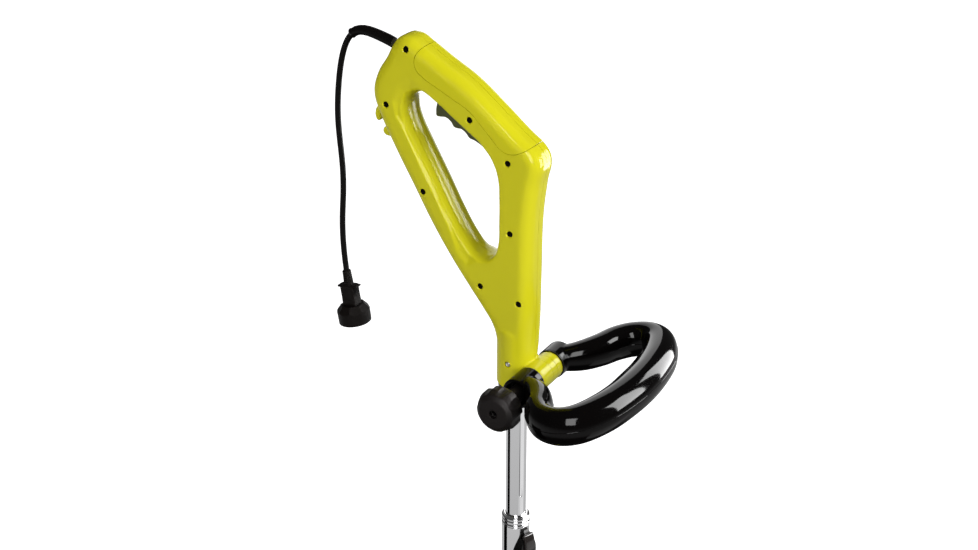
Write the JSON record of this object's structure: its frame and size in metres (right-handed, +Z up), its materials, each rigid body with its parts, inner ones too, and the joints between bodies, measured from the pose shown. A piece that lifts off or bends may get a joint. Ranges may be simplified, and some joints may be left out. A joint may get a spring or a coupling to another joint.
{
  "type": "string trimmer",
  "caption": "Corded string trimmer with a D-handle, a clamped loop handle, a telescoping tube shaft and a tilting motor head with spool and guard.",
  "frame": {"origin": "on the shaft axis, level with the loop handle's pivot boss, where a wall fork carries the tool", "axes": "+Z up along the shaft, +X towards the loop handle, +Y to the user's left, the moulding seam at y = 0"},
  "size_m": [0.4074, 0.3158, 1.2899],
  "materials": {
    "casing_lime": "moulded gloss ABS",
    "panel_lime": "moulded gloss ABS",
    "hook_lime": "moulded ABS",
    "motor_lime": "moulded gloss ABS",
    "trigger_olive": "moulded nylon",
    "zinc_steel": "zinc plated",
    "plug_brass": "nickel plated",
    "cord_pvc": "matt PVC",
    "loop_gloss_black": "high gloss",
    "knob_black": "fine matt",
    "tube_chrome": "polished",
    "black_plastic": "satin",
    "grey_plastic": "satin",
    "shoe_rubber": "matt",
    "spool_black": "satin",
    "guard_black": "fine grain",
    "stator_iron": "laminated",
    "armature_copper": "wound",
    "line_nylon": "extruded nylon"
  },
  "bodies": {
    "handle": {"handle_shell_right": "casing_lime", "handle_shell_left": "casing_lime", "grip_panel_right": "panel_lime", "grip_panel_left": "panel_lime", "cord_retainer": "hook_lime", "trigger_pin": "zinc_steel", "trigger_spring": "zinc_steel", "power_switch": "black_plastic", "handle_screw_1": "zinc_steel", "handle_screw_2": "zinc_steel", "handle_screw_3": "zinc_steel", "handle_screw_4": "zinc_steel", "handle_screw_5": "zinc_steel", "handle_screw_6": "zinc_steel", "handle_screw_7": "zinc_steel", "handle_screw_8": "zinc_steel", "handle_screw_9": "zinc_steel", "cord_strain_relief": "cord_pvc", "power_cord": "cord_pvc", "plug_boot": "cord_pvc", "plug_body": "cord_pvc", "plug_skirt": "cord_pvc", "plug_blade_a": "plug_brass", "plug_blade_b": "plug_brass", "tube_seal_ring": "black_plastic", "upper_tube": "tube_chrome", "pivot_washer_right": "black_plastic", "pivot_washer_left": "black_plastic"},
    "trigger": {"trigger": "trigger_olive"},
    "aux_handle": {"aux_handle_loop": "loop_gloss_black", "clamp_bolt": "zinc_steel"},
    "clamp_knob": {"clamp_knob": "knob_black"},
    "lower_shaft": {"lower_tube": "tube_chrome", "tube_collar": "tube_chrome", "tube_bush": "black_plastic", "lock_housing": "black_plastic", "lock_lever_pin": "zinc_steel"},
    "lock_lever": {"lock_lever": "grey_plastic"},
    "clamp_shoe": {"clamp_shoe": "shoe_rubber"},
    "head_neck": {"head_neck": "black_plastic", "tilt_pin": "zinc_steel"},
    "tilt_button": {"tilt_button": "grey_plastic"},
    "motor_head": {"motor_housing_right": "motor_lime", "motor_housing_left": "motor_lime", "motor_stator": "stator_iron", "upper_bearing": "zinc_steel", "lower_bearing": "zinc_steel", "motor_end_plate": "spool_black", "guard": "guard_black", "line_cutter": "zinc_steel"},
    "spool_drive": {"armature": "armature_copper", "cooling_fan": "black_plastic", "spool_housing": "spool_black", "line_spool": "grey_plastic", "cutting_line_a": "line_nylon", "cutting_line_b": "line_nylon", "bump_spring": "zinc_steel"},
    "bump_knob": {"bump_knob": "spool_black"},
    "edge_guide": {"edge_guide": "zinc_steel"}
  },
  "joints": [
    {"name": "trigger_squeeze", "type": "hinge", "parent": "handle", "child": "trigger", "pos_m": [-0.028, 0, 0.256], "axis": [0, 1, 0], "range_deg": [0, 8], "stiffness_Nm_per_rad": 2, "springref_deg": -3.44, "deforming": ["trigger_spring"]},
    {"name": "aux_handle_tilt", "type": "hinge", "parent": "handle", "child": "aux_handle", "pos_m": [0.029, 0, -0.001], "axis": [0, -1, 0], "range_deg": [-50, 45]},
    {"name": "clamp_knob_turn", "type": "hinge", "parent": "aux_handle", "child": "clamp_knob", "pos_m": [0.029, 0, -0.001], "axis": [0, -1, 0], "continuous": true},
    {"name": "shaft_extend", "type": "slide", "parent": "handle", "child": "lower_shaft", "axis": [0, 0, -1], "range_m": [-0.12, 0.13]},
    {"name": "lock_lever_open", "type": "hinge", "parent": "lower_shaft", "child": "lock_lever", "pos_m": [0.0202, -0.00735, -0.252], "axis": [0.342, 0.9397, 0], "range_deg": [0, 45]},
    {"name": "clamp_shoe_release", "type": "slide", "parent": "lower_shaft", "child": "clamp_shoe", "axis": [0.9397, -0.342, 0], "range_m": [0, 0.0016]},
    {"name": "edger_turn", "type": "hinge", "parent": "lower_shaft", "child": "head_neck", "pos_m": [0, 0, -0.63], "axis": [0, 0, 1], "range_deg": [0, 180]},
    {"name": "tilt_button_press", "type": "slide", "parent": "head_neck", "child": "tilt_button", "axis": [0, 1, 0], "range_m": [0, 0.003], "stiffness_N_per_m": 400, "springref_m": -0.003},
    {"name": "head_tilt", "type": "hinge", "parent": "head_neck", "child": "motor_head", "pos_m": [0, 0, -0.69], "axis": [0, 1, 0], "range_deg": [-35, 40]},
    {"name": "spool_spin", "type": "hinge", "parent": "motor_head", "child": "spool_drive", "pos_m": [-0.05736, 0, -0.77192], "axis": [-0.5736, 0, -0.8192], "continuous": true},
    {"name": "bump_feed", "type": "slide", "parent": "spool_drive", "child": "bump_knob", "axis": [0.5736, 0, 0.8192], "range_m": [0, 0.0025], "stiffness_N_per_m": 800, "springref_m": -0.002, "deforming": ["bump_spring"]},
    {"name": "edge_guide_flip", "type": "hinge", "parent": "motor_head", "child": "edge_guide", "pos_m": [-0.06539, 0, -0.8078], "axis": [0, -1, 0], "range_deg": [0, 80]}
  ],
  "couplings": [
    {"joint": "clamp_shoe_release", "follows": "lock_lever_open", "m_per_rad": 0.002}
  ]
}
